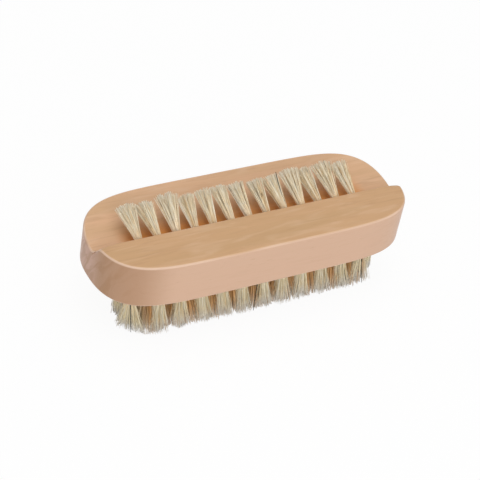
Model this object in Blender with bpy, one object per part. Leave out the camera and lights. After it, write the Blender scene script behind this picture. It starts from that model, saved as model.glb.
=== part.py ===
"""Two-sided wooden foot brush: one grooved wooden block and its separate bristle tufts.

Units are metres and +Z is up. The brush stands on the trimmed ends of its lower bristles.
X runs along the block, and +Y runs from its full-height front to its sloping back.
The origin is on the standing plane, under the middle of the block.
"""
import math

import bmesh
import bpy
import numpy as np
from mathutils import Vector

# Block
BLOCK_LENGTH = 0.0950
BLOCK_WIDTH = 0.0346
BLOCK_THICKNESS = 0.0133
END_SQUARENESS = 6.5        # outline exponent along X: higher gives straighter long sides
SIDE_SQUARENESS = 2.42      # outline exponent along Y: higher gives flatter ends
OUTLINE_POINTS = 88
EDGE_RADIUS = 0.0010
EDGE_SEGMENTS = 3
ARC_PROFILE = 0.5           # the bevel profile that follows an arc

# Groove along the top: a steep wall on the front part and a slope up to the back edge
GROOVE_EDGE_OFFSET = 0.0035     # from the middle of the block to the wall's upper edge
GROOVE_DEPTH = 0.0041
GROOVE_WALL_ANGLE = math.radians(60.0)
BACK_EDGE_DROP = 0.0003         # the slope ends this far below the full thickness

# Drilled holes and the tuft roots that sit in them
HOLE_RADIUS = 0.0014
HOLE_SIDES = 12
UNDER_HOLE_DEPTH = 0.0050
TOP_HOLE_DEPTH = 0.0060
ROOT_CLEARANCE = 0.0003

# Lower bristle field: two outer rows and, between them, two inner rows that stand staggered
UNDER_ROW_COUNT = 4
OUTER_ROW_SIDE_MARGIN = 0.0072  # from the block's long side to an outer row's centre line
OUTER_TUFT_COUNT = 12           # in each outer row; the back one is the front one turned round
OUTER_ROW_END_MARGIN = 0.0123
FRONT_ROW_SHIFT = -0.0022       # the front row's middle lies this far towards +X
FRONT_END_STEP = 0.0022         # the front row's first tuft stands this much farther out
INNER_TUFT_COUNT = 11           # in the inner front row; the inner back one has one less
INNER_ROW_END_MARGIN = 0.0080
INNER_ROW_SHIFT = 0.0010
UNDER_BRISTLE_LENGTH = 0.0130

# Upper row, set square into the groove's wall
TOP_ROW_COUNT = 13
TOP_ROW_END_MARGIN = 0.0139
TOP_ROW_SHIFT = -0.0010
TOP_BRISTLE_LENGTH = 0.0108
TOP_TIP_HALF_DEPTH = 0.0017

# Strands of one tuft
STRANDS_PER_TUFT = 8
STRAND_INSET = 0.00010          # half the gap between neighbouring strands at the root
STRAND_FLARE = 1.35             # a strand stands for several bristles and widens to its end
TIP_GAP = 0.0004                # between the strand ends of neighbours in one row
ROW_TIP_GAP = 0.0019            # between the strand ends of neighbouring lower rows
TRIM_DEPTH = 0.0005             # cut off the strand ends to leave them flat

# Allowances and limits of the modelling
CUTTER_OVERRUN = 0.004          # a cutter stands this far out of the surface that it cuts
HALF_OVERLAP = 0.001            # the block's back half reaches this far into its front half
OUTLINE_SAMPLES = 20001         # fine steps from which the outline's points are picked
BEND_SHARE = 0.6                # share of the outline's points that goes to where it turns
RIM_ANGLE = math.radians(60.0)  # edges that turn more than this are the rims to round
SHARP_ANGLE = math.radians(30.0)
FACES_UP = 0.9                  # least upward part of the normal of a root's end face

# What follows from the sizes above
BLOCK_BOTTOM = UNDER_BRISTLE_LENGTH
BLOCK_TOP = BLOCK_BOTTOM + BLOCK_THICKNESS
GROOVE_EDGE_Y = -GROOVE_EDGE_OFFSET
GROOVE_BOTTOM_Y = GROOVE_EDGE_Y + GROOVE_DEPTH / math.tan(GROOVE_WALL_ANGLE)
GROOVE_BOTTOM_Z = BLOCK_TOP - GROOVE_DEPTH
ROOT_RADIUS = HOLE_RADIUS - ROOT_CLEARANCE
FIELD_WIDTH = BLOCK_WIDTH - 2 * OUTER_ROW_SIDE_MARGIN
ROW_SPACING = FIELD_WIDTH / (UNDER_ROW_COUNT - 1)
OUTER_ROW_Y = FIELD_WIDTH / 2
INNER_ROW_Y = OUTER_ROW_Y - ROW_SPACING


def clear_scene():
    """Remove every object that the file holds."""
    for old in list(bpy.data.objects):
        bpy.data.objects.remove(old, do_unlink=True)


def make_collection(name):
    """Return a new collection linked to the scene."""
    coll = bpy.data.collections.new(name)
    bpy.context.scene.collection.children.link(coll)
    return coll


def make_material(name, rgb, roughness):
    """Return a Principled material of one colour."""
    mat = bpy.data.materials.new(name)
    mat.use_nodes = True
    shader = mat.node_tree.nodes["Principled BSDF"]
    shader.inputs["Base Color"].default_value = (*rgb, 1.0)
    shader.inputs["Roughness"].default_value = roughness
    shader.inputs["Metallic"].default_value = 0.0
    mat.diffuse_color = (*rgb, 1.0)
    return mat


def add_object(name, mesh, coll, parent=None, location=(0, 0, 0), rotation=(0, 0, 0)):
    """Link a mesh to a collection as a named object."""
    obj = bpy.data.objects.new(name, mesh)
    obj.location = location
    obj.rotation_euler = rotation
    obj.parent = parent
    coll.objects.link(obj)
    return obj


def outline_points(count):
    """Return points round the block's outline, closer together where it turns."""
    turn = np.linspace(0.0, 2 * math.pi, OUTLINE_SAMPLES)
    cos = np.cos(turn)
    sin = np.sin(turn)
    x = BLOCK_LENGTH / 2 * np.sign(cos) * np.abs(cos) ** (2 / END_SQUARENESS)
    y = BLOCK_WIDTH / 2 * np.sign(sin) * np.abs(sin) ** (2 / SIDE_SQUARENESS)
    dx = np.diff(x)
    dy = np.diff(y)
    step = np.hypot(dx, dy)
    heading = np.unwrap(np.arctan2(dy, dx))
    bend = np.abs(np.diff(heading, append=heading[0] + 2 * math.pi))
    weight = (1 - BEND_SHARE) * step / step.sum() + BEND_SHARE * bend / bend.sum()
    reach = np.concatenate([[0.0], np.cumsum(weight)])
    wanted = (np.arange(count) + 0.5) / count * reach[-1]
    return list(zip(np.interp(wanted, reach, x), np.interp(wanted, reach, y)))


def keep_one_side(bm, point, normal):
    """Cut a closed mesh with a plane, drop what lies on the normal's side and close the cut."""
    cut = bmesh.ops.bisect_plane(
        bm, geom=bm.verts[:] + bm.edges[:] + bm.faces[:],
        plane_co=point, plane_no=normal, clear_outer=True)
    rim = [g for g in cut["geom_cut"] if isinstance(g, bmesh.types.BMEdge)]
    bmesh.ops.holes_fill(bm, edges=rim, sides=0)
    bmesh.ops.recalc_face_normals(bm, faces=bm.faces)


def board_half_mesh(name, top_point, top_normal, end_point, end_normal):
    """Return one half of the grooved board: a rounded rim, cut off at a plane by the groove."""
    bm = bmesh.new()
    outline = [bm.verts.new((x, y, BLOCK_BOTTOM)) for x, y in outline_points(OUTLINE_POINTS)]
    face = bm.faces.new(outline)
    grown = bmesh.ops.extrude_face_region(bm, geom=[face])
    moved = [g for g in grown["geom"] if isinstance(g, bmesh.types.BMVert)]
    bmesh.ops.translate(bm, verts=moved, vec=(0, 0, BLOCK_THICKNESS + CUTTER_OVERRUN))
    keep_one_side(bm, top_point, top_normal)
    rim = [e for e in bm.edges if e.calc_face_angle(0.0) > RIM_ANGLE]
    bmesh.ops.bevel(bm, geom=rim, offset=EDGE_RADIUS, segments=EDGE_SEGMENTS,
                    profile=ARC_PROFILE, affect="EDGES", clamp_overlap=False)
    keep_one_side(bm, end_point, end_normal)
    mesh = bpy.data.meshes.new(name)
    bm.to_mesh(mesh)
    bm.free()
    return mesh


def hole_cutter_mesh(name, mouths, direction, depth):
    """Return one mesh of blind-hole cylinders that run from each mouth along direction."""
    bm = bmesh.new()
    turn = Vector((0, 0, 1)).rotation_difference(direction).to_matrix()
    length = depth + CUTTER_OVERRUN
    for mouth in mouths:
        made = bmesh.ops.create_cone(
            bm, cap_ends=True, segments=HOLE_SIDES,
            radius1=HOLE_RADIUS, radius2=HOLE_RADIUS, depth=length)
        bmesh.ops.rotate(bm, verts=made["verts"], matrix=turn)
        centre = Vector(mouth) + direction * (depth - length / 2)
        bmesh.ops.translate(bm, verts=made["verts"], vec=centre)
    mesh = bpy.data.meshes.new(name)
    bm.to_mesh(mesh)
    bm.free()
    return mesh


def tuft_mesh(name, root_depth, length, half_x, half_y):
    """Return one tuft: a round root with fanned three-sided strands fused to its end.

    The root runs down from local z = 0 and the strands run up to z = length.
    half_x and half_y bound the fan at the strand ends.
    """
    bm = bmesh.new()
    plug = root_depth - ROOT_CLEARANCE
    bmesh.ops.create_cone(
        bm, cap_ends=True, cap_tris=True, segments=STRANDS_PER_TUFT,
        radius1=ROOT_RADIUS, radius2=ROOT_RADIUS, depth=plug)
    bmesh.ops.translate(bm, verts=bm.verts, vec=(0, 0, -plug / 2))
    wedges = [f for f in bm.faces if f.normal.z > FACES_UP]
    bmesh.ops.inset_individual(bm, faces=wedges, thickness=STRAND_INSET, use_even_offset=True)
    grown = bmesh.ops.extrude_discrete_faces(bm, faces=wedges)["faces"]
    untrimmed = length + TRIM_DEPTH
    for face in grown:
        base = face.calc_center_median()
        spread = base.xy.normalized()
        reach = max((v.co - base).xy.length for v in face.verts) * STRAND_FLARE
        tip = Vector((spread.x * (half_x - reach), spread.y * (half_y - reach), untrimmed))
        for vert in face.verts:
            vert.co = tip + (vert.co - base) * STRAND_FLARE
    keep_one_side(bm, (0, 0, length), (0, 0, 1))
    mesh = bpy.data.meshes.new(name)
    bm.to_mesh(mesh)
    bm.free()
    return mesh


def row_positions(count, end_margin, shift):
    """Return the X positions of an evenly spaced row, and its pitch."""
    pitch = (BLOCK_LENGTH - 2 * end_margin) / (count - 1)
    return [shift + (i - (count - 1) / 2) * pitch for i in range(count)], pitch


def add_boolean(obj, name, cutter, operation="DIFFERENCE", solver="EXACT"):
    """Cut or join an object with a guide object that doesn't render."""
    cutter.hide_render = True
    cutter.display_type = "WIRE"
    mod = obj.modifiers.new(name, "BOOLEAN")
    mod.operation = operation
    mod.solver = solver
    mod.object = cutter


def build_block(parts, cutters, root, under_mouths, top_mouths, wall_normal):
    """Build the wooden block: full-height front, sloping back and drilled holes."""
    wall_point = Vector((0, GROOVE_EDGE_Y, BLOCK_TOP))
    front = board_half_mesh("block", (0, 0, BLOCK_TOP), (0, 0, 1), wall_point, wall_normal)
    block = add_object("block", front, parts, root)

    rise = GROOVE_DEPTH - BACK_EDGE_DROP
    run = BLOCK_WIDTH / 2 - GROOVE_BOTTOM_Y
    slope_normal = Vector((0, -rise, run)).normalized()
    slope = board_half_mesh("back_half", (0, GROOVE_BOTTOM_Y, GROOVE_BOTTOM_Z), slope_normal,
                            wall_point - wall_normal * HALF_OVERLAP, -wall_normal)
    slope.shade_smooth()
    # EXACT leaves a stray vertex on the rim of this union, and the hole cuts then come out open
    add_boolean(block, "back_half", add_object("back_half", slope, cutters, root),
                "UNION", "MANIFOLD")

    up = hole_cutter_mesh("under_hole_cutter", under_mouths, Vector((0, 0, 1)), UNDER_HOLE_DEPTH)
    add_boolean(block, "under_holes", add_object("under_hole_cutter", up, cutters, root))
    back = hole_cutter_mesh("top_hole_cutter", top_mouths, -wall_normal, TOP_HOLE_DEPTH)
    add_boolean(block, "top_holes", add_object("top_hole_cutter", back, cutters, root))

    block.data.shade_smooth()
    block.data.set_sharp_from_angle(angle=SHARP_ANGLE)
    shading = block.modifiers.new("shading", "WEIGHTED_NORMAL")
    shading.keep_sharp = True
    return block


def main():
    """Build the brush."""
    clear_scene()
    parts = make_collection("foot_brush")
    cutters = make_collection("cutters")
    root = bpy.data.objects.new("foot_brush_origin", None)
    parts.objects.link(root)

    wood = make_material("pale_wood", (0.61, 0.38, 0.215), 0.55)
    under_bristle = make_material("under_bristle", (0.55, 0.49, 0.34), 0.65)
    top_bristle = make_material("top_bristle", (0.60, 0.53, 0.38), 0.65)

    # Lower field: tufts hang from the block's underside
    front_x, outer_pitch = row_positions(OUTER_TUFT_COUNT, OUTER_ROW_END_MARGIN, FRONT_ROW_SHIFT)
    inner_x, inner_pitch = row_positions(INNER_TUFT_COUNT, INNER_ROW_END_MARGIN, INNER_ROW_SHIFT)
    between_x = [x + inner_pitch / 2 for x in inner_x[:-1]]
    front_x[0] -= FRONT_END_STEP
    back_x = [-x for x in reversed(front_x)]
    half_y = (ROW_SPACING - ROW_TIP_GAP) / 2
    outer_mesh = tuft_mesh("outer_tuft", UNDER_HOLE_DEPTH, UNDER_BRISTLE_LENGTH,
                           (outer_pitch - TIP_GAP) / 2, half_y)
    inner_mesh = tuft_mesh("inner_tuft", UNDER_HOLE_DEPTH, UNDER_BRISTLE_LENGTH,
                           (inner_pitch - TIP_GAP) / 2, half_y)
    outer_mesh.materials.append(under_bristle)
    inner_mesh.materials.append(under_bristle)
    rows = [
        ("front_tuft", front_x, -OUTER_ROW_Y, outer_mesh),
        ("inner_front_tuft", inner_x, -INNER_ROW_Y, inner_mesh),
        ("inner_back_tuft", between_x, INNER_ROW_Y, inner_mesh),
        ("back_tuft", back_x, OUTER_ROW_Y, outer_mesh),
    ]
    under_mouths = []
    for label, positions, row_y, mesh in rows:
        for i, x in enumerate(positions):
            mouth = (x, row_y, BLOCK_BOTTOM)
            under_mouths.append(mouth)
            add_object(f"{label}_{i + 1:02d}", mesh, parts, root, mouth, (math.pi, 0, 0))

    # Upper row: tufts stand square to the groove's wall, half way down it
    lean = GROOVE_WALL_ANGLE
    top_direction = Vector((0, math.sin(lean), math.cos(lean)))
    mouth_y = (GROOVE_EDGE_Y + GROOVE_BOTTOM_Y) / 2
    mouth_z = (BLOCK_TOP + GROOVE_BOTTOM_Z) / 2
    top_x, top_pitch = row_positions(TOP_ROW_COUNT, TOP_ROW_END_MARGIN, TOP_ROW_SHIFT)
    top_mesh = tuft_mesh("top_tuft", TOP_HOLE_DEPTH, TOP_BRISTLE_LENGTH,
                         (top_pitch - TIP_GAP) / 2, TOP_TIP_HALF_DEPTH)
    top_mesh.materials.append(top_bristle)
    top_mouths = [(x, mouth_y, mouth_z) for x in top_x]
    for i, mouth in enumerate(top_mouths):
        add_object(f"top_tuft_{i + 1:02d}", top_mesh, parts, root, mouth, (-lean, 0, 0))

    block = build_block(parts, cutters, root, under_mouths, top_mouths, top_direction)
    block.data.materials.append(wood)


main()
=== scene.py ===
"""Looks of the two-sided wooden foot brush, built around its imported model.

Units are metres and +Z is up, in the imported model's own frame: X runs along the block, the
full-height front lies towards -Y, and the lower bristles stand on z = 0.
"""
import logging
import math
from dataclasses import dataclass, replace
from enum import Enum

import bmesh
import bpy
import numpy as np
from bpy.types import Material, Mesh, Node, NodeSocket, NodeTree, Object
from mathutils import Euler, Matrix, Vector


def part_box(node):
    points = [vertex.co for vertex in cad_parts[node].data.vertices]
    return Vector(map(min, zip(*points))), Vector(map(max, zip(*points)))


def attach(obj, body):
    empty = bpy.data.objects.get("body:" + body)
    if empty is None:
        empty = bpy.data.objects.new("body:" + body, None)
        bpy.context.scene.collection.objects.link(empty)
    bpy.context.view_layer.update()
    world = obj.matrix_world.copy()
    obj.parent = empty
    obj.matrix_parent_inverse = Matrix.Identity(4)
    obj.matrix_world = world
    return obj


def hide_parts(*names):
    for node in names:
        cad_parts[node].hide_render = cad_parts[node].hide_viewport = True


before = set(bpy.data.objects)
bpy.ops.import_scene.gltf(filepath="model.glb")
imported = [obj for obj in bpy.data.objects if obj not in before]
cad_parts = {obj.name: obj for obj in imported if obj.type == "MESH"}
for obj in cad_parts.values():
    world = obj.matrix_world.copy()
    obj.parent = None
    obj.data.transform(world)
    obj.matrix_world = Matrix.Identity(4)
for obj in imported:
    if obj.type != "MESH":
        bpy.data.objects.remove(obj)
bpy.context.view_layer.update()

LOG = logging.getLogger("foot_brush")
BODY = "root"
GOLDEN_ANGLE = math.pi * (3.0 - math.sqrt(5.0))
BAKE_MAP = "OFBake"
FIRST_SEED = 11
# Where most of a noise's values lie
NOISE_SPAN = (0.3, 0.7)

Triple = tuple[float, float, float]
Reach = tuple[float, float]
Colour = Triple
Array = np.ndarray
Socket = NodeSocket


class Row(Enum):
    """The rows of tufts, by the first words of their nodes' names."""

    FRONT = "front_tuft"
    INNER_FRONT = "inner_front_tuft"
    INNER_BACK = "inner_back_tuft"
    BACK = "back_tuft"
    TOP = "top_tuft"


class Slot(Enum):
    """The record's material slots."""

    WOOD = "pale_wood"
    UNDER_BRISTLE = "under_bristle"
    TOP_BRISTLE = "top_bristle"


def put_in_scene(name: str, data: bpy.types.ID) -> Object:
    """Make an object and link it to the scene.

    Args:
        name: The object's name.
        data: Its mesh, lamp or camera.

    Returns:
        The object.
    """
    thing = bpy.data.objects.new(name, data)
    bpy.context.scene.collection.objects.link(thing)
    return thing


class NodeSheet:
    """A short way to add and join shader nodes in one node tree."""

    def __init__(self, tree: NodeTree) -> None:
        """Take over a node tree and empty it."""
        self.tree = tree
        tree.nodes.clear()

    def feed(self, target: Socket, value: object) -> None:
        """Feed an input.

        Args:
            target: The input.
            value: A socket to join to it, or a value to set on it.
        """
        if isinstance(value, Socket):
            self.tree.links.new(value, target)
        else:
            target.default_value = value

    def add(self, kind: str, inputs: dict[str | int, object] | None = None,
            **settings: str) -> Node:
        """Add a node.

        Args:
            kind: The node's type name.
            inputs: What is fed into the node, by the input's name or number.
            settings: Properties of the node, by name.

        Returns:
            The new node.
        """
        node = self.tree.nodes.new(kind)
        for name, value in settings.items():
            setattr(node, name, value)
        for name, value in (inputs or {}).items():
            self.feed(node.inputs[name], value)
        return node

    def skin(self, inputs: dict[str, object]) -> None:
        """Make a Principled shader with these inputs the material's surface."""
        shader = self.add("ShaderNodeBsdfPrincipled", inputs)
        self.add("ShaderNodeOutputMaterial", {"Surface": shader.outputs["BSDF"]})

    def math(self, operation: str, first: object, second: object = 0.0) -> Socket:
        """Work out one operation on two values, each a socket or a number."""
        return self.add("ShaderNodeMath", {0: first, 1: second}, operation=operation).outputs[0]

    def times(self, first: Socket, second: object) -> Socket:
        """Multiply a value by another, a socket or a number."""
        return self.math("MULTIPLY", first, second)

    def span(self, value: Socket, low: float, high: float,
             new_low: float = 0.0, new_high: float = 1.0) -> Socket:
        """Map a value smoothly from one range to another, and hold it at the ends."""
        node = self.add("ShaderNodeMapRange", {"Value": value, "From Min": low, "From Max": high,
                                               "To Min": new_low, "To Max": new_high},
                        interpolation_type="SMOOTHSTEP")
        return node.outputs["Result"]

    def parts(self, vector: Socket) -> tuple[Socket, ...]:
        """Split a vector into the sockets of its X, Y and Z."""
        return tuple(self.add("ShaderNodeSeparateXYZ", {0: vector}).outputs)

    def noise(self, where: Socket, scale: Triple, detail: float,
              distortion: float = 0.0) -> Socket:
        """Add noise that is stretched along the axes.

        Args:
            where: The coordinates to read.
            scale: Features per metre along X, Y and Z.
            detail: Number of finer layers.
            distortion: How much the pattern is bent.

        Returns:
            The noise's value socket.
        """
        stretch = self.add("ShaderNodeMapping", {"Vector": where, "Scale": scale})
        node = self.add("ShaderNodeTexNoise", {"Vector": stretch.outputs["Vector"], "Scale": 1.0,
                                               "Detail": detail, "Distortion": distortion})
        return node.outputs["Fac"]

    def mix(self, share: Socket, first: object, second: object) -> Socket:
        """Mix two colours.

        Args:
            share: The second colour's share.
            first: A socket or a colour.
            second: A socket or a colour.

        Returns:
            The mixed colour's socket.
        """
        node = self.add("ShaderNodeMix", {0: share}, data_type="RGBA")
        blends = [s for s in node.inputs if s.type == "RGBA"]
        for socket, value in zip(blends, (first, second)):
            self.feed(socket, value if isinstance(value, Socket) else (*value, 1.0))
        return next(s for s in node.outputs if s.type == "RGBA")

    def seen_directly(self) -> Socket:
        """Pick out the rays that come straight from the eye or by way of gloss.

        Returns:
            A value that is 1 for camera, glossy and transmission rays.
        """
        path = self.add("ShaderNodeLightPath").outputs
        seen = self.math("MAXIMUM", path["Is Camera Ray"], path["Is Glossy Ray"])
        return self.math("MAXIMUM", seen, path["Is Transmission Ray"])


def start_material(name: str) -> tuple[Material, NodeSheet]:
    """Start a material.

    Args:
        name: The material's name.

    Returns:
        The material and its node sheet.
    """
    mat = bpy.data.materials.new(name)
    mat.use_nodes = True
    return mat, NodeSheet(mat.node_tree)


@dataclass(frozen=True)
class Figure:
    """One layer of the wood's figure, drawn with stretched noise.

    scale is its features per metre along X, Y and Z, detail its number of finer layers, and
    bend its distortion. Its share is least until the noise reaches low, and strength from
    high on.
    """

    scale: Triple
    detail: float
    bend: float
    low: float
    high: float
    strength: float
    least: float = 0.0

    def draw(self, sheet: NodeSheet, where: Socket, place: Socket | None = None) -> Socket:
        """Draw the layer.

        Args:
            sheet: The node sheet to add to.
            where: The coordinates to read.
            place: How far the layer belongs at each point, or none where it is everywhere.

        Returns:
            The layer's share.
        """
        noise = sheet.noise(where, self.scale, self.detail, self.bend)
        share = sheet.span(noise, self.low, self.high, self.least, self.strength)
        return share if place is None else sheet.times(share, place)


@dataclass(frozen=True)
class WoodFinish:
    """Sanded, waxed pale wood whose grain runs along X.

    roughness is the least and the greatest. Each other pair is a span over which one look
    turns into another: up_span, end_span and rim_span are shares of facing up, of facing
    along X and of being rim, and the rest are lengths along X or Y, in metres.
    """

    face: Colour = (0.612, 0.368, 0.193)
    slope: Colour = (0.690, 0.425, 0.252)
    # side is paler edge grain, partly painted light from the front and the floor
    side: Colour = (0.660, 0.432, 0.302)
    end: Colour = (0.600, 0.380, 0.285)
    # corner is painted shade for the front left corner, where less light falls
    corner: Colour = (0.475, 0.282, 0.174)
    # root is painted shade and warm bounce light for the groove's corner between the tufts
    root: Colour = (0.720, 0.280, 0.055)
    late_wood: Colour = (0.400, 0.215, 0.105)
    olive: Colour = (0.480, 0.310, 0.145)
    light: Colour = (0.780, 0.545, 0.375)
    # worn is wear and a painted highlight on the rounded rims
    worn_and_highlight: Colour = (0.820, 0.610, 0.475)
    bands: Figure = Figure((14.0, 110.0, 140.0), 2.0, 0.8, 0.44, 0.68, 0.30)
    streaks: Figure = Figure((80.0, 900.0, 900.0), 2.0, 0.8, 0.50, 0.74, 0.30)
    gleams: Figure = Figure((60.0, 340.0, 340.0), 2.0, 1.0, 0.48, 0.74, 0.26)
    flecks: Figure = Figure((420.0, 3600.0, 3600.0), 1.0, 0.0, 0.66, 0.80, 0.22)
    cut_fibres: Figure = Figure((120.0, 400.0, 110.0), 1.5, 0.9, 0.46, 0.66, 0.50)
    rubs_and_highlight: Figure = Figure((40.0, 90.0, 90.0), 2.0, 0.4, 0.3, 0.6, 0.65, least=0.15)
    cut_turn: Triple = (math.radians(-28.0), 0.0, 0.0)
    fibre_scale: Triple = (70.0, 2400.0, 2400.0)
    fibre_depth: float = 0.00003
    fibre_strength: float = 0.6
    up_span: Reach = (0.35, 0.90)
    end_span: Reach = (0.35, 0.95)
    rim_span: Reach = (0.35, 1.0)
    plain_middle: Reach = (0.024, 0.044)
    middle_share: float = 0.50
    side_share: float = 0.35
    slope_edge: Reach = (-0.0036, -0.0030)
    groove_shade_edge: Reach = (-0.0034, -0.0020)
    root_fade: Reach = (0.0, 0.0075)
    groove_shade_end: Reach = (0.034, 0.040)
    root_share: float = 0.92
    shade_corner_left: Reach = (-0.042, -0.029)
    shade_corner_front: Reach = (-0.006, 0.0)
    roughness: Reach = (0.47, 0.65)
    specular: float = 0.30
    sheen: float = 0.30
    sheen_roughness: float = 0.30

    def grain(self, sheet: NodeSheet, where: Socket, ground: Socket, upward: Socket) -> Socket:
        """Draw the growth bands and streaks that run along the block.

        Args:
            sheet: The node sheet to add to.
            where: The object's coordinates.
            ground: The plain wood's colour, with its painted shade and light.
            upward: How far the surface faces up or down.

        Returns:
            The figured wood's colour.
        """
        # The streaks are plainer in the middle than near the round ends, and on the sides
        x, _, _ = sheet.parts(where)
        lively = sheet.span(sheet.math("ABSOLUTE", x), *self.plain_middle, self.middle_share, 1.0)
        lively = sheet.times(lively, sheet.span(upward, 0.0, 1.0, self.side_share, 1.0))
        colour = sheet.mix(self.bands.draw(sheet, where, upward), ground, self.olive)
        colour = sheet.mix(self.streaks.draw(sheet, where, lively), colour, self.late_wood)
        colour = sheet.mix(self.gleams.draw(sheet, where, upward), colour, self.light)
        return sheet.mix(self.flecks.draw(sheet, where), colour, self.late_wood)

    def top_colour(self, sheet: NodeSheet, x: Socket, y: Socket) -> Socket:
        """Colour the faces that look up.

        Args:
            sheet: The node sheet to add to.
            x: The object's X.
            y: The object's Y.

        Returns:
            The plain wood's colour there, with painted shade in the groove's corner.
        """
        top = sheet.mix(sheet.span(y, *self.slope_edge), self.face, self.slope)
        # Painted shade and warm bounce light deepen the colour in the groove's corner between the
        # tufts
        groove_shade = sheet.span(y, *self.root_fade, self.root_share, 0.0)
        groove_shade = sheet.times(groove_shade, sheet.span(y, *self.groove_shade_edge))
        beside = sheet.span(sheet.math("ABSOLUTE", x), *self.groove_shade_end, 1.0, 0.0)
        return sheet.mix(sheet.times(groove_shade, beside), top, self.root)

    def material(self) -> Material:
        """Build the wood's material.

        Returns:
            The finished material.
        """
        mat, sheet = start_material("sanded_pale_wood")
        where = sheet.add("ShaderNodeTexCoord").outputs["Object"]
        x, y, _ = sheet.parts(where)

        # Faces that look up show the flat grain, the sides paler edge grain, the ends end grain;
        # the sides' paleness is partly painted light from the front and the floor
        normal = sheet.parts(sheet.add("ShaderNodeNewGeometry").outputs["Normal"])
        upward = sheet.span(sheet.math("ABSOLUTE", normal[2]), *self.up_span)
        endward = sheet.span(sheet.math("ABSOLUTE", normal[0]), *self.end_span)
        # Painted shade darkens the front left corner
        corner = sheet.times(sheet.span(x, *self.shade_corner_left, 1.0, 0.0),
                             sheet.span(y, *self.shade_corner_front, 1.0, 0.0))
        wall = sheet.mix(corner, sheet.mix(endward, self.side, self.end), self.corner)
        ground = sheet.mix(upward, wall, self.top_colour(sheet, x, y))
        colour = self.grain(sheet, where, ground, upward)
        slanted = sheet.add("ShaderNodeMapping", {"Vector": where, "Rotation": self.cut_turn})
        cuts = self.cut_fibres.draw(sheet, slanted.outputs["Vector"], endward)
        colour = sheet.mix(cuts, colour, self.late_wood)

        # Rounded rims are handled most and rub paler in places, with a painted highlight along
        # them
        rim = sheet.add("ShaderNodeAttribute", attribute_name="rim").outputs["Fac"]
        rubbed_and_highlit = self.rubs_and_highlight.draw(sheet, where, sheet.span(rim, *self.rim_span))

        fibres = sheet.noise(where, self.fibre_scale, 3.0)
        rough = sheet.span(fibres, *NOISE_SPAN, *self.roughness)
        bump = sheet.add("ShaderNodeBump", {"Height": fibres, "Distance": self.fibre_depth,
                                            "Strength": self.fibre_strength})
        sheet.skin({"Base Color": sheet.mix(rubbed_and_highlit, colour, self.worn_and_highlight), "Roughness": rough,
                    "Specular IOR Level": self.specular, "Sheen Weight": self.sheen,
                    "Sheen Roughness": self.sheen_roughness, "Normal": bump.outputs["Normal"]})
        return mat


@dataclass(frozen=True)
class BristleFinish:
    """Natural bristle: every hair has its own tone, and its tip is paler than its root.

    A hair's tone runs from 0, dark, to 1, pale, and tone_stops are the tones of the colours
    dark, dark, shade, cream and pale. roughness is a root's and a tip's. The other pairs are
    spans of a hair's tone or length, or of X in metres. A large tip_share is partly painted
    light, and the brown is painted shade.
    """

    name: str
    dark: Colour
    shade: Colour
    cream: Colour
    tip: Colour
    root: Colour
    tip_share: float
    pale: Colour = (0.98, 0.92, 0.76)
    # The brown below is painted shade for bristles that others surround
    painted_shade_brown: Colour = (0.74, 0.40, 0.14)
    painted_shade_share: float = 0.0
    painted_shade_at_tip: float = 0.42
    painted_shade_end: Reach = (0.033, 0.037)
    painted_shade_fade: Reach = (0.60, 1.0)
    root_share: float = 0.40
    root_fade: Reach = (0.05, 0.60)
    tip_fade: Reach = (0.70, 1.0)
    tone_stops: tuple[float, ...] = (0.0, 0.10, 0.18, 0.55, 1.0)
    fair_from: Reach = (0.10, 0.20)
    wander: float = 0.09
    wander_scale: Triple = (700.0, 700.0, 260.0)
    roughness: Reach = (0.42, 0.58)
    specular: float = 0.35

    def material(self) -> Material:
        """Build the bristle's material.

        Returns:
            The finished material.
        """
        mat, sheet = start_material(self.name)
        tone, along = (sheet.add("ShaderNodeAttribute", attribute_name=name).outputs["Fac"]
                       for name in ("tone", "along"))
        # A hair's tone also wanders a little along its length
        where = sheet.add("ShaderNodeTexCoord").outputs["Object"]
        drift = sheet.span(sheet.noise(where, self.wander_scale, 1.0), *NOISE_SPAN,
                           -self.wander, self.wander)
        ramp = sheet.add("ShaderNodeValToRGB", {"Fac": sheet.math("ADD", tone, drift)})
        colours = (self.dark, self.dark, self.shade, self.cream, self.pale)
        elements = ramp.color_ramp.elements
        while len(elements) < len(colours):
            elements.new(0.5)
        for element, stop, colour in zip(elements, self.tone_stops, colours):
            element.position = stop
            element.color = (*colour, 1.0)

        # The tip and root tints leave a dark hair dark
        fair = sheet.span(tone, *self.fair_from)
        root = sheet.times(sheet.span(along, *self.root_fade, self.root_share, 0.0), fair)
        tip = sheet.times(sheet.span(along, *self.tip_fade, 0.0, self.tip_share), fair)
        colour = sheet.mix(root, ramp.outputs["Color"], self.root)
        colour = sheet.mix(tip, colour, self.tip)
        if self.painted_shade_share:
            # Bristles that others surround get painted brown shade, most of all near their roots
            x, _, _ = sheet.parts(where)
            painted_shade = sheet.span(sheet.math("ABSOLUTE", x), *self.painted_shade_end, self.painted_shade_share, 0.0)
            fade = sheet.span(along, *self.painted_shade_fade, 1.0, self.painted_shade_at_tip)
            painted_shade = sheet.times(sheet.times(painted_shade, fade), fair)
            colour = sheet.mix(painted_shade, colour, self.painted_shade_brown)
        rough = sheet.span(along, 0.0, 1.0, *self.roughness)
        sheet.skin({"Base Color": colour, "Roughness": rough,
                    "Specular IOR Level": self.specular})
        return mat


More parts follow.
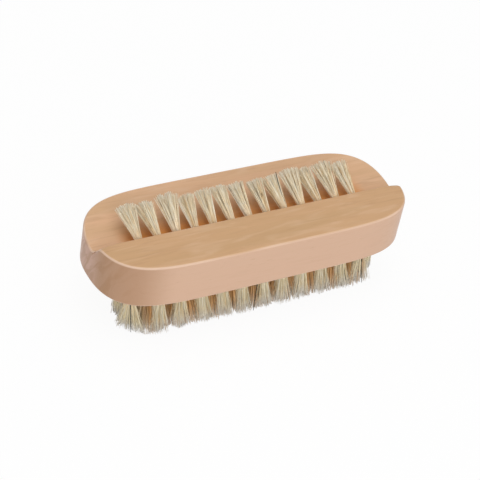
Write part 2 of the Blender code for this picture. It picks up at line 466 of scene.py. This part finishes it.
@dataclass
class WoodenBlock:
    """The grooved block, with its rounded rims and drilled holes."""

    finish: WoodFinish
    end_squareness: float = 6.5
    side_squareness: float = 2.42
    outline_count: int = 352
    outline_samples: int = 20001
    even_share: float = 0.4
    rim_radius: float = 0.00075
    rim_steps: int = 6
    corner_radius: float = 0.0014
    corner_steps: int = 6
    corner_slack: float = 0.0001
    groove_edge_y: float = -0.0035
    groove_depth: float = 0.0041
    wall_angle: float = math.radians(60.0)
    wall_parts: int = 5
    back_edge_drop: float = 0.0003
    arris_radius: float = 0.0004
    root_radius: float = 0.0010
    arc_steps: int = 5
    soft_width: float = 0.0018
    soft_samples: int = 21
    soft_lines: tuple[float, ...] = (0.0420, 0.0432, 0.0443, 0.0453, 0.0462, 0.0469)
    side_levels: tuple[float, ...] = (0.0052, 0.0042, 0.0033, 0.0026, 0.0020, 0.0015, 0.0011)
    hole_radius: float = 0.0014
    hole_sides: int = 28
    under_hole_depth: float = 0.0050
    top_hole_depth: float = 0.0060
    cutter_overrun: float = 0.0040
    cut_tolerance: float = 1e-8
    sharp_angle: float = math.radians(35.0)

    def __post_init__(self) -> None:
        """Read the block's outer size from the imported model."""
        self.low, self.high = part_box("block")
        self.half_length = (self.high.x - self.low.x) / 2
        self.half_width = (self.high.y - self.low.y) / 2
        self.groove_bottom_y = self.groove_edge_y + self.groove_depth / math.tan(self.wall_angle)
        self.wall_normal = Vector((0, math.sin(self.wall_angle), math.cos(self.wall_angle)))

    def wall_middle(self) -> Reach:
        """Return the Y and Z of the line half way down the groove's wall."""
        return ((self.groove_edge_y + self.groove_bottom_y) / 2,
                self.high.z - self.groove_depth / 2)

    def outline(self) -> tuple[Array, Array]:
        """Work out the outline, with its points closer together where it bends more.

        Returns:
            The outline's points and their inward unit normals, each of two columns.
        """
        turn = np.linspace(0.0, math.tau, self.outline_samples)
        cos, sin = np.cos(turn), np.sin(turn)
        x = self.half_length * np.sign(cos) * np.abs(cos) ** (2 / self.end_squareness)
        y = self.half_width * np.sign(sin) * np.abs(sin) ** (2 / self.side_squareness)
        dx, dy = np.diff(x), np.diff(y)
        step = np.hypot(dx, dy)
        heading = np.unwrap(np.arctan2(dy, dx))
        bend = np.abs(np.diff(heading, append=heading[0] + math.tau))
        weight = (self.even_share * step / step.sum()
                  + (1 - self.even_share) * bend / bend.sum())
        reach = np.concatenate([[0.0], np.cumsum(weight)])
        wanted = np.arange(self.outline_count) / self.outline_count * reach[-1]
        points = np.stack([np.interp(wanted, reach, x), np.interp(wanted, reach, y)], axis=1)
        along = np.roll(points, -1, axis=0) - np.roll(points, 1, axis=0)
        inward = np.stack([-along[:, 1], along[:, 0]], axis=1)
        return points, inward / np.linalg.norm(inward, axis=1, keepdims=True)

    def corner_arc(self, before: Array, corner: Array, after: Array,
                   radius: float) -> list[Array]:
        """Round one corner of the groove's section.

        Args:
            before: The section's point before the corner.
            corner: The corner itself.
            after: The section's point after the corner.
            radius: The arc's radius.

        Returns:
            Points along the arc, from the first straight to the second.
        """
        back, ahead = (way / np.linalg.norm(way) for way in (before - corner, after - corner))
        half = math.acos(float(back @ ahead)) / 2
        middle = (back + ahead) / np.linalg.norm(back + ahead)
        centre = corner + middle * radius / math.sin(half)
        start = corner + back * radius / math.tan(half) - centre
        end = corner + ahead * radius / math.tan(half) - centre
        sweep = math.acos(float(np.clip(start @ end / radius ** 2, -1, 1)))
        shares = np.linspace(0.0, 1.0, self.arc_steps + 1)
        return [centre + (math.sin((1 - s) * sweep) * start + math.sin(s * sweep) * end)
                / math.sin(sweep) for s in shares]

    def section(self) -> Array:
        """Lay out the top's section across the groove.

        Returns:
            Rows of Y and the depth below the top.
        """
        front = np.array([-self.half_width, 0.0])
        edge = np.array([self.groove_edge_y, 0.0])
        bottom = np.array([self.groove_bottom_y, -self.groove_depth])
        back = np.array([self.half_width, -self.back_edge_drop])
        line = [front, *self.corner_arc(front, edge, bottom, self.arris_radius),
                *self.corner_arc(edge, bottom, back, self.root_radius), back]
        return np.array([(y, -z) for y, z in line])

    def cut_lines(self, section: Array) -> list[float]:
        """Work out each Y at which the top is divided, so that its bends are smooth.

        Args:
            section: The top's section.

        Returns:
            The Y values.
        """
        wall = np.linspace(self.groove_edge_y, self.groove_bottom_y, self.wall_parts + 1)[1:-1]
        turns = np.radians(np.arange(1, self.corner_steps) * 90 / self.corner_steps)
        corner = self.groove_edge_y - self.corner_radius * (1 - np.sin(turns))
        beside = self.soft_width * np.linspace(0.2, 1.0, 4)
        return [*section[1:-1, 0], *wall, *corner, self.groove_edge_y - self.soft_width,
                *(self.groove_bottom_y + beside)]

    def depth_at(self, section: Array, x: float, y: float) -> float:
        """Work out how deep the top lies, with its bends sanded softer towards the ends.

        Args:
            section: The top's section.
            x: The point's X.
            y: The point's Y.

        Returns:
            The depth below the block's top.
        """
        depth = float(np.interp(y, section[:, 0], section[:, 1]))
        start = self.soft_lines[0]
        share = min(max((abs(x) - start) / (self.half_length - start), 0.0), 1.0)
        near = y + np.linspace(-self.soft_width, self.soft_width, self.soft_samples)
        soft = float(np.interp(near, section[:, 0], section[:, 1]).mean())
        return depth + (soft - depth) * share ** 2

    def corner_shift(self, y: float, depth: float) -> float:
        """Work out how far the end is drawn in beside the groove, which rounds that corner.

        Args:
            y: The point's Y.
            depth: The point's depth below the block's top.

        Returns:
            The shift towards the block's middle.
        """
        depth = min(max(depth, 0.0), self.groove_depth)
        into = y - self.groove_edge_y - depth / math.tan(self.wall_angle)
        if not -self.corner_radius < into < self.corner_slack:
            return 0.0
        chord = min(into, 0.0) + self.corner_radius
        round_off = self.corner_radius - math.sqrt(self.corner_radius ** 2 - chord ** 2)
        return round_off * (1 - (depth / self.groove_depth) ** 2)

    def body_mesh(self) -> Mesh:
        """Build the block without its holes.

        Returns:
            A closed mesh whose point attribute "rim" is 1 on the rounded rims.
        """
        points, inward = self.outline()
        turns = [math.pi / 2 * (1 - step / self.rim_steps) for step in range(self.rim_steps + 1)]
        curve = [(self.rim_radius * (1 - math.cos(turn)), self.rim_radius * (1 - math.sin(turn)))
                 for turn in turns]
        rings = [(inset, self.low.z + rise) for inset, rise in curve]
        rings += [(0.0, self.high.z - level) for level in self.side_levels]
        rings += [(inset, self.high.z - rise) for inset, rise in reversed(curve)]

        bm = bmesh.new()
        loops = [[bm.verts.new((*(p + n * inset), z)) for p, n in zip(points, inward)]
                 for inset, z in rings]
        count = self.outline_count
        for lower, upper in zip(loops, loops[1:]):
            for i in range(count):
                k = (i + 1) % count
                bm.faces.new((lower[i], lower[k], upper[k], upper[i]))
        bm.faces.new(list(reversed(loops[0])))
        bm.faces.new(loops[-1])
        section = self.section()
        for y in self.cut_lines(section):
            self.divide(bm, self.low.z + self.rim_radius, (0, y, 0), (0, 1, 0))
        just_below_top = self.high.z - self.rim_radius / 100
        for x in self.soft_lines:
            for side in (-1, 1):
                self.divide(bm, just_below_top, (side * x, 0, 0), (1, 0, 0))
        self.shape_top(bm, section)
        bmesh.ops.recalc_face_normals(bm, faces=bm.faces)
        mesh = bpy.data.meshes.new("wooden_block")
        bm.to_mesh(mesh)
        bm.free()
        return mesh

    def divide(self, bm: bmesh.types.BMesh, height: float, point: Triple,
               normal: Triple) -> None:
        """Divide the faces above a height along a plane.

        Args:
            bm: The mesh.
            height: The height above which a face's middle has to lie.
            point: A point on the plane.
            normal: The plane's normal.
        """
        cut = [f for f in bm.faces if f.calc_center_median().z > height]
        edges = {e for f in cut for e in f.edges}
        verts = {v for f in cut for v in f.verts}
        bmesh.ops.bisect_plane(bm, geom=[*verts, *edges, *cut], dist=self.cut_tolerance,
                               plane_co=point, plane_no=normal)

    def shape_top(self, bm: bmesh.types.BMesh, section: Array) -> None:
        """Sink the groove, round its ends and mark the rims.

        Args:
            bm: The block's mesh, still flat on top.
            section: The top's section.
        """
        rim = bm.verts.layers.float.new("rim")
        middle = (self.low.z + self.high.z) / 2
        for vert in bm.verts:
            from_face = min(self.high.z - vert.co.z, vert.co.z - self.low.z)
            sine = 1 - min(max(from_face, 0.0), self.rim_radius) / self.rim_radius
            vert[rim] = math.sin(2 * math.asin(min(sine, 1.0)))
            if vert.co.z > middle:
                vert.co.z -= self.depth_at(section, vert.co.x, vert.co.y)
            if abs(vert.co.x) > self.half_length / 2:
                shift = self.corner_shift(vert.co.y, self.high.z - vert.co.z)
                vert.co.x -= math.copysign(shift, vert.co.x)

    def drill(self, block: Object, mouths: list[Vector], direction: Vector,
              depth: float) -> None:
        """Cut one set of blind holes into the block's mesh.

        Args:
            block: The block to cut.
            mouths: The centre of each hole's mouth.
            direction: The way the holes run into the wood.
            depth: The holes' depth.
        """
        bm = bmesh.new()
        turn = Vector((0, 0, 1)).rotation_difference(direction).to_matrix()
        length = depth + self.cutter_overrun
        for mouth in mouths:
            made = bmesh.ops.create_cone(bm, cap_ends=True, segments=self.hole_sides,
                                         radius1=self.hole_radius, radius2=self.hole_radius,
                                         depth=length)
            bmesh.ops.rotate(bm, verts=made["verts"], matrix=turn)
            bmesh.ops.translate(bm, verts=made["verts"],
                                vec=mouth + direction * (depth - length / 2))
        mesh = bpy.data.meshes.new("holes")
        bm.to_mesh(mesh)
        bm.free()
        cutter = put_in_scene("holes", mesh)
        mod = block.modifiers.new("holes", "BOOLEAN")
        mod.object = cutter
        mod.solver = "EXACT"
        bpy.context.view_layer.update()
        graph = bpy.context.evaluated_depsgraph_get()
        cut = bpy.data.meshes.new_from_object(block.evaluated_get(graph))
        block.modifiers.clear()
        block.data = cut
        bpy.data.objects.remove(cutter, do_unlink=True)

    def build(self, under_mouths: list[Vector], top_mouths: list[Vector]) -> Object:
        """Build the block, drill it and dress it.

        Args:
            under_mouths: The mouths of the lower tufts' holes.
            top_mouths: The mouths of the upper tufts' holes.

        Returns:
            The finished block.
        """
        block = put_in_scene("wooden_block", self.body_mesh())
        self.drill(block, under_mouths, Vector((0, 0, 1)), self.under_hole_depth)
        self.drill(block, top_mouths, -self.wall_normal, self.top_hole_depth)
        block.data.shade_smooth()
        block.data.set_sharp_from_angle(angle=self.sharp_angle)
        shading = block.modifiers.new("shading", "WEIGHTED_NORMAL")
        shading.keep_sharp = True
        block.data.materials.clear()
        block.data.materials.append(self.finish.material())
        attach(block, BODY)
        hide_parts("block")
        return block


@dataclass(frozen=True)
class DarkHair:
    """One near-black hair that stands out in a tuft.

    index is the tuft's number in its row. side and front place the tip, in shares of the
    tuft's half width and half depth. root_side and root_front place the root, in shares of
    the root's radius.
    """

    index: int
    side: float
    front: float
    root_side: float
    root_front: float = 0.8


@dataclass(frozen=True)
class Habit:
    """How one tuft stands.

    lean and forward shift its tips along X and to the front, width scales it along X, and
    longer is added to its length. skew is how far to the front a tip moves for its place
    along X, so that a tuft can follow the block's round corner.
    """

    lean: float = 0.0
    forward: float = 0.0
    width: float = 1.0
    longer: float = 0.0
    skew: float = 0.0


@dataclass
class TuftRow:
    """One row of tufts, each made of many fine hairs.

    A tuft is laid out with +Z out of its hole. In a lower row +Y is then the block's front.
    """

    row: Row
    slot: Slot
    length: float
    half_x: float
    half_y: float
    hairs: int
    material: Material
    tilt: float
    habits: tuple[Habit, ...] = ()
    dark_hairs: tuple[DarkHair, ...] = ()
    mouth_height: Reach | None = None
    trimmed_flat: bool = True
    squareness: float = 2.0
    root_radius: float = 0.0010
    sunk: float = 0.0016
    hair_radius: float = 0.000100
    tip_radius: float = 0.000060
    thickness: Reach = (0.8, 1.2)
    rings: int = 6
    sides: int = 3
    clumps: int = 24
    clumping: float = 0.45
    flare_power: float = 1.6
    wave: float = 0.00018
    wave_turn: float = 3.4
    uneven: float = 0.00060
    clump_uneven: float = 0.6
    jitter: float = 0.00012
    stray_share: float = 0.06
    stray_spread: float = 1.15
    tone: float = 0.68
    hair_tone: float = 0.17
    clump_tone: float = 0.13
    least_tone: float = 0.22
    odd_chance: float = 0.004
    odd_tone: float = 0.06
    dark_thickness: float = 1.8
    map_columns: int = 20
    map_margin: float = 0.08

    def nodes(self) -> list[str]:
        """Return the names of the row's nodes, in order."""
        return sorted(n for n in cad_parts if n.startswith(self.row.value + "_"))

    def mouth(self, node: str) -> Vector:
        """Find the centre of the mouth of a tuft's hole.

        Args:
            node: The tuft's node.

        Returns:
            The mouth's centre.
        """
        low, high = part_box(node)
        middle = (low + high) / 2
        if self.mouth_height is None:
            return Vector((middle.x, middle.y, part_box("block")[0].z))
        return Vector((middle.x, *self.mouth_height))

    def habit(self, number: int) -> Habit:
        """Return how a tuft stands, by its place in its row, from 1."""
        return self.habits[number - 1] if self.habits else Habit()

    def marked(self, number: int) -> list[DarkHair]:
        """Return the tuft's listed dark hairs."""
        return [hair for hair in self.dark_hairs if hair.index == number]

    def hair_tips(self, number: int, rng: np.random.Generator) -> tuple[Array, ...]:
        """Place one tuft's hairs across its root and across its tips.

        Args:
            number: The tuft's place in its row, from 1.
            rng: The row's source of chance.

        Returns:
            The hairs' places in the root's unit disc, their tips and their clumps.
        """
        habit = self.habit(number)
        k = np.arange(self.hairs) + 0.5
        radius = np.sqrt(k / self.hairs)
        angle = k * GOLDEN_ANGLE + rng.uniform(0, math.tau)
        disc = np.stack([radius * np.cos(angle), radius * np.sin(angle)], axis=1)
        power = self.squareness
        corner = (np.abs(disc) ** power).sum(axis=1) ** (1 / power)
        spread = disc * (radius / corner)[:, None]
        heads = spread[rng.choice(self.hairs, self.clumps, replace=False)]
        clump = np.linalg.norm(spread[:, None] - heads[None], axis=2).argmin(axis=1)
        spread = spread + (heads[clump] - spread) * self.clumping
        stray = rng.random(self.hairs) < self.stray_share
        spread[stray] *= self.stray_spread
        for place, hair in enumerate(self.marked(number)):
            spread[-1 - place] = (hair.side, hair.front)
            disc[-1 - place] = (hair.root_side, hair.root_front)
        tips = spread * (self.half_x * habit.width, self.half_y)
        tips[:, 1] += tips[:, 0] * habit.skew
        tips += (habit.lean, habit.forward)
        tips += rng.normal(0.0, self.jitter, tips.shape)
        return disc, tips, clump

    def hair_paths(self, number: int,
                   rng: np.random.Generator) -> tuple[Array, Array]:
        """Lay out one tuft's hairs in its own frame.

        Args:
            number: The tuft's place in its row, from 1.
            rng: The row's source of chance.

        Returns:
            The hairs' points, by hair and ring, and each hair's tone.
        """
        disc, tips, clump = self.hair_tips(number, rng)
        unmarked = self.hairs - len(self.marked(number))
        short = np.abs(rng.normal(0.0, self.uneven, self.hairs))
        short += np.abs(rng.normal(0.0, self.uneven * self.clump_uneven, self.clumps))[clump]
        short[unmarked:] = 0.0
        length = self.length + self.habit(number).longer
        reach = np.full(self.hairs, length)
        if not self.trimmed_flat:
            reach = np.sqrt(length ** 2 - (tips ** 2).sum(axis=1))
        share = np.linspace(0.0, 1.0, self.rings)[None, :, None]
        roots = disc[:, None, :] * self.root_radius
        flat = roots + (tips[:, None, :] - roots) * share ** self.flare_power
        phase = rng.uniform(0, math.tau, (self.hairs, 1, 2))
        size = rng.normal(0.0, self.wave, (self.hairs, 1, 2))
        flat = flat + size * share * np.sin(phase + self.wave_turn * share)
        height = -self.sunk + (reach - short + self.sunk)[:, None] * share[:, :, 0]
        tone = self.tone + rng.normal(0.0, self.hair_tone, self.hairs)
        tone += rng.normal(0.0, self.clump_tone, self.clumps)[clump]
        tone = np.clip(tone, self.least_tone, 1.0)
        tone[rng.random(self.hairs) < self.odd_chance] = self.odd_tone
        tone[unmarked:] = 0.0
        return np.concatenate([flat, height[:, :, None]], axis=2), tone

    def lay_map(self, mesh: Mesh) -> None:
        """Give each hair its own strip of the picture that its colours go to.

        Args:
            mesh: The tuft's mesh, with the walls' faces first and then the end faces.
        """
        rings, sides, margin = self.rings, self.sides, self.map_margin
        grid = (self.map_columns, math.ceil(self.hairs / self.map_columns))
        hair = np.arange(self.hairs)
        cell = np.stack([hair % self.map_columns, hair // self.map_columns], axis=1)
        ring = np.arange(rings - 1)[:, None, None]
        side = np.arange(sides)[None, :, None]
        across = (side + np.array([0, 1, 1, 0])) / sides + 0 * ring
        along = (ring + np.array([0, 0, 1, 1])) / (rings - 1) + 0 * side
        walls = np.stack([across, along], axis=-1)[None] * (1 - 2 * margin) + margin
        walls = (walls + cell[:, None, None, None, :]) / grid
        # The two end faces lie just past the ends of the walls' strip
        corner = np.linspace(margin, 1 - margin, sides)
        past = margin * (0.2 + 0.6 * np.abs(np.linspace(-1, 1, sides)))
        tops = np.stack([corner, 1 - margin + past], axis=1)
        roots = np.stack([corner, margin - past], axis=1)
        ends = [(end[None] + cell[:, None, :]) / grid for end in (tops, roots)]
        flat = np.concatenate([part.reshape(-1) for part in (walls, *ends)])
        layer = mesh.uv_layers.new(name=BAKE_MAP)
        layer.data.foreach_set("uv", flat.astype(np.float32))

    def tuft_mesh(self, name: str, paths: Array, tone: Array,
                  rng: np.random.Generator) -> Mesh:
        """Give the hairs their thickness.

        Args:
            name: The mesh's name.
            paths: The hairs' points, by hair and ring.
            tone: Each hair's tone.
            rng: The row's source of chance.

        Returns:
            A mesh of closed hairs, with point attributes "tone" and "along".
        """
        count, rings, sides = self.hairs, self.rings, self.sides
        start = rng.uniform(0, math.tau, (count, 1, 1))
        turn = start + np.arange(sides)[None, None, :] * math.tau / sides
        share = np.linspace(0.0, 1.0, rings)[None, :, None]
        thick = rng.uniform(*self.thickness, (count, 1, 1))
        thick[tone == 0.0] = self.dark_thickness
        radius = (self.hair_radius + (self.tip_radius - self.hair_radius) * share) * thick
        points = np.repeat(paths[:, :, None, :], sides, axis=2)
        points[..., 0] += np.cos(turn) * radius
        points[..., 1] += np.sin(turn) * radius
        at = np.arange(count * rings * sides).reshape(count, rings, sides)
        after = np.roll(at, -1, axis=2)
        walls = np.stack([at[:, :-1], after[:, :-1], after[:, 1:], at[:, 1:]], axis=-1)
        faces = walls.reshape(-1, 4).tolist()
        faces += at[:, -1].tolist() + at[:, 0, ::-1].tolist()
        mesh = bpy.data.meshes.new(name)
        mesh.from_pydata(points.reshape(-1, 3).tolist(), [], faces)
        values = {"tone": np.broadcast_to(tone[:, None, None], at.shape),
                  "along": np.broadcast_to(share, at.shape)}
        for label, value in values.items():
            layer = mesh.attributes.new(label, "FLOAT", "POINT")
            layer.data.foreach_set("value", value.astype(np.float32).ravel())
        self.lay_map(mesh)
        mesh.shade_smooth()
        mesh.materials.append(self.material)
        return mesh

    def build(self, seed: int) -> list[Object]:
        """Build every tuft of the row.

        Args:
            seed: Start of the row's chance.

        Returns:
            The tufts, in order.
        """
        rng = np.random.default_rng(seed)
        tilt = Euler((self.tilt, 0, 0)).to_matrix().to_4x4()
        made = []
        for number, node in enumerate(self.nodes(), 1):
            paths, tone = self.hair_paths(number, rng)
            mesh = self.tuft_mesh(node + "_bristles", paths, tone, rng)
            mesh.transform(Matrix.Translation(self.mouth(node)) @ tilt)
            tuft = put_in_scene(node + "_bristles", mesh)
            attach(tuft, BODY)
            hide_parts(node)
            made.append(tuft)
        return made


@dataclass(frozen=True)
class Lamp:
    """A soft round lamp."""

    name: str
    power: float
    size: float
    distance: float
    direction: Triple

    def hang(self, target: Vector) -> None:
        """Hang the lamp.

        Args:
            target: The point that it faces.
        """
        data = bpy.data.lights.new(self.name, "AREA")
        data.shape = "DISK"
        data.size = self.size
        data.energy = self.power
        lamp = put_in_scene(self.name, data)
        away = Vector(self.direction).normalized()
        lamp.location = target + away * self.distance
        lamp.rotation_euler = away.to_track_quat("Z", "Y").to_euler()


@dataclass
class Studio:
    """A plain pale floor with soft light."""

    fill: float = 0.62
    lamps: tuple[Lamp, ...] = (Lamp("overhead", 2.6, 0.80, 0.80, (0.04, 0.0, 1.0)),
                               Lamp("front", 2.3, 0.70, 0.80, (-0.20, -1.0, 0.42)))
    floor_size: float = 6.0
    floor_gap: float = 0.00005
    floor_white: float = 0.95
    floor_glow_share: float = 0.93

    def light_world(self) -> None:
        """Fill the surroundings with even white light."""
        world = bpy.data.worlds.new("studio")
        world.use_nodes = True
        sheet = NodeSheet(world.node_tree)
        strength = sheet.add("ShaderNodeMapRange", {"Value": sheet.seen_directly(),
                                                    "To Min": self.fill, "To Max": 1.0})
        sky = sheet.add("ShaderNodeBackground", {"Strength": strength.outputs["Result"]})
        sheet.add("ShaderNodeOutputWorld", {"Surface": sky.outputs["Background"]})
        bpy.context.scene.world = world

    def lay_floor(self) -> None:
        """Lay the floor."""
        bpy.ops.mesh.primitive_plane_add(size=self.floor_size,
                                         location=(0, 0, -self.floor_gap))
        floor = bpy.context.object
        floor.name = "studio_floor"
        mat, sheet = start_material("studio_floor")
        matt = sheet.add("ShaderNodeBsdfDiffuse", {"Color": (*[self.floor_white] * 3, 1.0)})
        glow = sheet.add("ShaderNodeEmission")
        share = sheet.times(sheet.seen_directly(), self.floor_glow_share)
        blend = sheet.add("ShaderNodeMixShader", {"Fac": share, 1: matt.outputs["BSDF"],
                                                  2: glow.outputs["Emission"]})
        sheet.add("ShaderNodeOutputMaterial", {"Surface": blend.outputs["Shader"]})
        floor.data.materials.append(mat)

    def build(self, target: Vector) -> None:
        """Set up the world, the floor and the lamps.

        Args:
            target: The point that the lamps face.
        """
        self.light_world()
        self.lay_floor()
        for lamp in self.lamps:
            lamp.hang(target)


@dataclass
class PhotographCamera:
    """The camera at the photograph's viewing angle, from a fit to its outlines."""

    turn: float = math.radians(34.99)
    look_down: float = math.radians(38.32)
    roll: float = math.radians(-10.97)
    aside: float = 0.0009646
    above: float = -0.0007415
    distance: float = 0.436106
    focal_pixels: float = 1558.04
    picture_width: float = 480.0
    sensor: float = 36.0
    near_limit: float = 0.01
    far_limit: float = 20.0

    def build(self, block_bottom: float) -> Object:
        """Place the camera and make it the scene's own.

        Args:
            block_bottom: Height of the block's underside, where the fit has its origin.

        Returns:
            The camera.
        """
        sin, cos = math.sin(self.turn), math.cos(self.turn)
        drop, level = math.sin(self.look_down), math.cos(self.look_down)
        right = Vector((cos, -sin, 0))
        ahead = Vector((level * sin, level * cos, -drop))
        up = Vector((drop * sin, drop * cos, level))
        data = bpy.data.cameras.new("photograph_camera")
        data.sensor_width = self.sensor
        data.lens = self.focal_pixels / self.picture_width * self.sensor
        data.clip_start = self.near_limit
        data.clip_end = self.far_limit
        camera = put_in_scene("photograph_camera", data)
        rolled_right = right * math.cos(self.roll) - up * math.sin(self.roll)
        rolled_up = right * math.sin(self.roll) + up * math.cos(self.roll)
        axes = Matrix((rolled_right, rolled_up, -ahead)).transposed()
        place = (-self.aside * right - self.above * up - self.distance * ahead
                 + Vector((0, 0, block_bottom)))
        camera.matrix_world = Matrix.Translation(place) @ axes.to_4x4()
        bpy.context.scene.camera = camera
        return camera


def under_rows(length: float, material: Material,
               inner_shaded_material: Material) -> list[TuftRow]:
    """Describe the four lower rows.

    Args:
        length: The lower bristles' length.
        material: The outer rows' material.
        inner_shaded_material: The inner rows' material, with painted brown shade.

    Returns:
        The rows, from front to back.
    """
    # The front tufts lean out, and those behind lean on until their tips fill the gaps
    lean_out, fill = 0.0022, 0.0060
    leans = (0.0002, 0.0005, 0.0012, 0.0010, 0.0006, 0.0009, 0.0004, -0.0002, 0.0006, 0.0008)
    front = (Habit(0.0016, -0.0007, 1.08, skew=0.9), *[Habit(lean, lean_out) for lean in leans],
             Habit(-0.0004, 0.0012, skew=-0.3))
    inner_front = (Habit(0.0018, 0.0004, 0.68), Habit(-0.0012, fill, 1.05),
                   Habit(0.0, fill, 1.12), Habit(0.0005, fill), *[Habit(0.0, fill)] * 2,
                   Habit(0.0, fill, 1.08), *[Habit(0.0005, fill)] * 3,
                   Habit(-0.0030, 0.0014, 0.70))
    inner_back = (Habit(0.0015, width=0.75), *[Habit()] * 8, Habit(-0.0015, width=0.75))
    dark = (DarkHair(1, -0.06, 0.98, -0.2), DarkHair(3, 0.05, 0.50, 0.1),
            DarkHair(7, -1.32, 0.72, -1.0, 0.3), DarkHair(11, 0.80, 0.45, 0.5),
            DarkHair(12, 0.68, 1.40, 0.3))
    shared = {"slot": Slot.UNDER_BRISTLE, "length": length, "tilt": math.pi, "squareness": 5.0,
              "clumping": 0.18, "tip_radius": 0.000045}
    outer = {**shared, "material": material, "half_x": 0.0028, "half_y": 0.0018, "hairs": 260}
    inner = {**shared, "material": inner_shaded_material, "half_x": 0.0045, "half_y": 0.0031,
             "hairs": 300, "flare_power": 0.6, "sunk": 0.0006, "root_radius": 0.0011}
    behind = {**inner, "half_y": 0.0043, "hairs": 520, "tip_radius": 0.00008}
    return [TuftRow(Row.FRONT, habits=front, dark_hairs=dark, **outer),
            TuftRow(Row.INNER_FRONT, habits=inner_front, **behind),
            TuftRow(Row.INNER_BACK, habits=inner_back, **inner),
            TuftRow(Row.BACK, **outer)]


def top_row(block: WoodenBlock, material: Material) -> TuftRow:
    """Describe the upper row, which stands square to the groove's wall.

    Args:
        block: The block.
        material: The upper bristles' material.

    Returns:
        The row.
    """
    leans = (-0.0008, -0.0015, 0.0006, 0.0004, 0.0002, -0.0006, -0.0008, -0.0006, -0.0011,
             -0.0002, -0.0018, -0.0009, -0.0009)
    widths = (1.14, 1.16, 1.27, 0.94, 0.90, 0.96, 0.98, 0.92, 1.06, 1.20, 1.00, 1.20, 1.00)
    longer = (0.0002, 0.0, 0.0010, -0.0004, 0.0001, 0.0004, 0.0002, 0.0, 0.0002, 0.0010,
              0.0006, 0.0012, 0.0002)
    habits = tuple(Habit(lean, width=width, longer=extra)
                   for lean, width, extra in zip(leans, widths, longer))
    return TuftRow(Row.TOP, Slot.TOP_BRISTLE, length=0.0108, half_x=0.00285, half_y=0.0017,
                   hairs=170, material=material, tilt=-block.wall_angle, habits=habits,
                   dark_hairs=(DarkHair(9, 0.55, -1.00, 0.9, -0.3),),
                   mouth_height=block.wall_middle(), trimmed_flat=False,
                   root_radius=0.00084, flare_power=1.3, uneven=0.00040, clumps=18)


def main() -> None:
    """Build the dressed brush, its studio and its camera."""
    logging.basicConfig(level=logging.INFO, format="%(name)s: %(message)s")
    bpy.context.scene.view_settings.view_transform = "Standard"
    block = WoodenBlock(WoodFinish())
    # The lower bristles' far paler tips are partly painted light from the bright floor
    outer_finish = BristleFinish("lower_bristle", dark=(0.030, 0.026, 0.022),
                                 shade=(0.76, 0.55, 0.29), cream=(0.98, 0.86, 0.58),
                                 tip=(0.98, 0.94, 0.87), root=(0.82, 0.58, 0.31),
                                 tip_share=0.85)
    # The inner rows get painted brown shade
    inner_shaded_finish = replace(outer_finish, name="inner_bristle_painted_shade", painted_shade_share=0.90)
    upper_finish = BristleFinish("upper_bristle", dark=(0.060, 0.050, 0.040),
                                 shade=(0.72, 0.50, 0.25), cream=(0.98, 0.83, 0.57),
                                 tip=(0.97, 0.88, 0.74), root=(0.88, 0.56, 0.27),
                                 tip_share=0.35)
    rows = under_rows(block.low.z, outer_finish.material(), inner_shaded_finish.material())
    top = top_row(block, upper_finish.material())
    under_mouths = [row.mouth(node) for row in rows for node in row.nodes()]
    top_mouths = [top.mouth(node) for node in top.nodes()]
    LOG.info("wooden block: %s", block.build(under_mouths, top_mouths).name)
    for seed, row in enumerate([*rows, top], FIRST_SEED):
        LOG.info("%s: %d tufts", row.row.value, len(row.build(seed)))
    Studio().build(Vector((0, 0, (block.low.z + block.high.z) / 2)))
    LOG.info("camera: %s", PhotographCamera().build(block.low.z).name)


if __name__ == "__main__":
    main()
